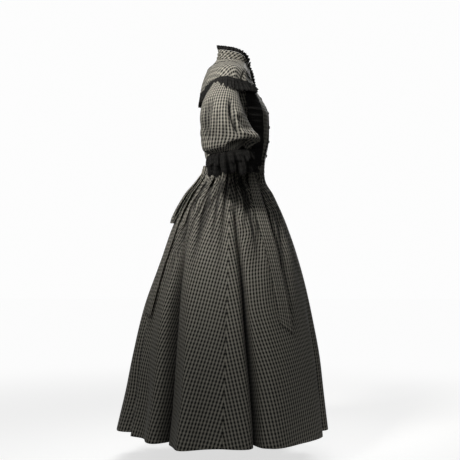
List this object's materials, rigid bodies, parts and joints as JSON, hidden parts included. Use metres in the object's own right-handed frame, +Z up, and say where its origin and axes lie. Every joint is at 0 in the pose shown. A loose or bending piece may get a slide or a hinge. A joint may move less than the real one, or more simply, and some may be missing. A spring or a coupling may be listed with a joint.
{
  "type": "checked dress, in the hollow form in which it is worn",
  "caption": "Worn-shape checked day dress: stand collar, shoulder cape, puffed elbow sleeves, dark lace frills, buttoned front, gathered full skirt and a tied sash.",
  "frame": {"origin": "midway between the shoulder tips, at their height, where the wearer carries the dress", "axes": "+Z up along the standing wearer, -Y to the front of the dress, -X to the wearer's right"},
  "size_m": [0.8431, 0.7782, 1.4124],
  "materials": {
    "checked_cloth": "matt woven cotton, light and dark check with dark crossings",
    "black_lace": "matt dark lace",
    "dark_button": "polished, dark"
  },
  "bodies": {
    "root": {"skirt_front": "checked_cloth", "skirt_back": "checked_cloth", "bodice_front_right": "checked_cloth", "bodice_front_left": "checked_cloth", "bodice_back": "checked_cloth", "front_placket": "checked_cloth", "waistband": "checked_cloth", "collar_band": "checked_cloth", "collar_lace": "black_lace", "cape_right": "checked_cloth", "cape_left": "checked_cloth", "cape_lace_right": "black_lace", "cape_lace_left": "black_lace", "front_lace_right": "black_lace", "front_lace_left": "black_lace", "sleeve_right": "checked_cloth", "sleeve_left": "checked_cloth", "cuff_lace_right": "black_lace", "cuff_lace_left": "black_lace", "sash_knot": "checked_cloth", "sash_loop_right": "checked_cloth", "sash_loop_left": "checked_cloth", "sash_tail_right": "checked_cloth", "sash_tail_left": "checked_cloth", "sash_tail_front": "checked_cloth", "button_1": "dark_button", "button_2": "dark_button", "button_3": "dark_button", "button_4": "dark_button", "button_5": "dark_button", "button_6": "dark_button", "button_7": "dark_button"}
  },
  "joints": []
}
